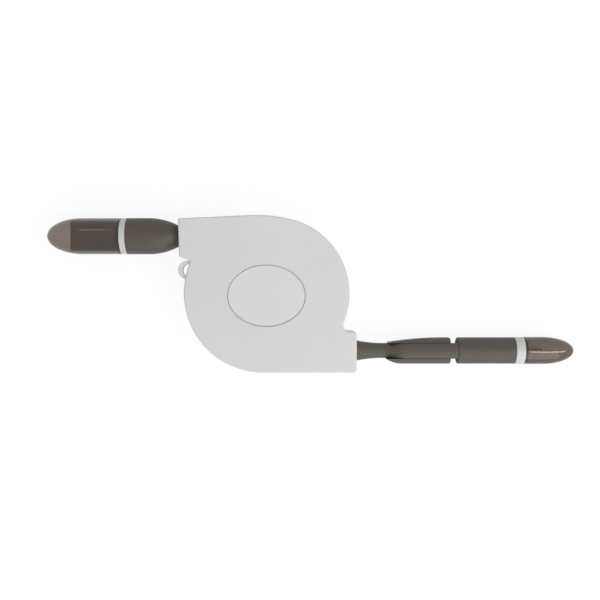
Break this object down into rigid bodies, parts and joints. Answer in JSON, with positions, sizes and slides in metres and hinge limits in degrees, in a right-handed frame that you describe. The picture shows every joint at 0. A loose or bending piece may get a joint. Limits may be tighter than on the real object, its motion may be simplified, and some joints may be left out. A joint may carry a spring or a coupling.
{
  "type": "retractable charging cable",
  "caption": "Retractable charging cable: a flat S-shaped reel case with an oval inlay and lanyard loop, whose capped connectors pull out at opposite sides and wind back by a spring.",
  "frame": {"origin": "on the spool axis, at the back face that the case lies on", "axes": "+X towards the adapter end along the cable, +Y across the case, +Z out of the front face"},
  "size_m": [0.2102, 0.0618, 0.016],
  "materials": {
    "case_plastic": "satin moulded light grey",
    "inlay_plastic": "fine satin light grey",
    "collar_plastic": "polished light grey",
    "dark_plastic": "satin warm dark grey",
    "smoke_plastic": "clear smoky brown",
    "plug_steel": "bright plated sheet",
    "spring_steel": "rolled spring strip",
    "screw_steel": "zinc plated",
    "contact_gold": "gold flash",
    "insulator_plastic": "moulded black",
    "spool_plastic": "natural moulded",
    "cable_jacket": "flat flexible jacket"
  },
  "bodies": {
    "case": {"rear_shell": "case_plastic", "front_shell": "case_plastic", "front_inlay": "inlay_plastic", "case_screw": "screw_steel"},
    "ball": {"lock_ball": "screw_steel"},
    "reel": {"spool": "spool_plastic", "spring_cover": "spool_plastic", "mainspring": "spring_steel", "wound_cable": "cable_jacket"},
    "usb_plug": {"usb_grip": "dark_plastic", "usb_collar": "collar_plastic", "usb_shell": "plug_steel", "usb_tongue": "insulator_plastic", "usb_contacts": "contact_gold", "usb_cable_run": "cable_jacket"},
    "usb_cover": {"usb_cap": "smoke_plastic"},
    "tip_plug": {"tip_core": "dark_plastic", "tip_sleeve": "dark_plastic", "tip_cable_run": "cable_jacket", "dock_blade": "plug_steel", "dock_contacts": "contact_gold"},
    "adapter": {"adapter_body": "dark_plastic", "adapter_socket": "insulator_plastic", "adapter_collar": "collar_plastic", "micro_shell": "plug_steel", "micro_tongue": "insulator_plastic", "micro_contacts": "contact_gold"},
    "tip_cover": {"tip_cap": "smoke_plastic"}
  },
  "joints": [
    {"name": "reel_turn", "type": "hinge", "parent": "case", "child": "reel", "pos_m": [0, 0, 0.008], "axis": [0, 0, 1], "range_deg": [0, 1080], "stiffness_Nm_per_rad": 0.001, "springref_deg": -1145.92, "deforming": ["mainspring", "wound_cable"]},
    {"name": "usb_pull", "type": "slide", "parent": "case", "child": "usb_plug", "axis": [-1, 0, 0], "range_m": [0, 0.3697], "deforming": ["usb_cable_run"]},
    {"name": "tip_pull", "type": "slide", "parent": "case", "child": "tip_plug", "axis": [1, 0, 0], "range_m": [0, 0.3697], "deforming": ["tip_cable_run"]},
    {"name": "usb_cap_pull", "type": "slide", "parent": "usb_plug", "child": "usb_cover", "axis": [-1, 0, 0], "range_m": [0, 0.03]},
    {"name": "adapter_pull", "type": "slide", "parent": "tip_plug", "child": "adapter", "axis": [1, 0, 0], "range_m": [0, 0.018]},
    {"name": "tip_cap_pull", "type": "slide", "parent": "adapter", "child": "tip_cover", "axis": [1, 0, 0], "range_m": [0, 0.02]},
    {"name": "ball_slide", "type": "slide", "parent": "case", "child": "ball", "axis": [-1, 0, 0], "range_m": [0, 0.0022]}
  ],
  "couplings": [
    {"joint": "usb_pull", "follows": "reel_turn", "m_per_rad": 0.01961},
    {"joint": "tip_pull", "follows": "reel_turn", "m_per_rad": 0.01961}
  ]
}
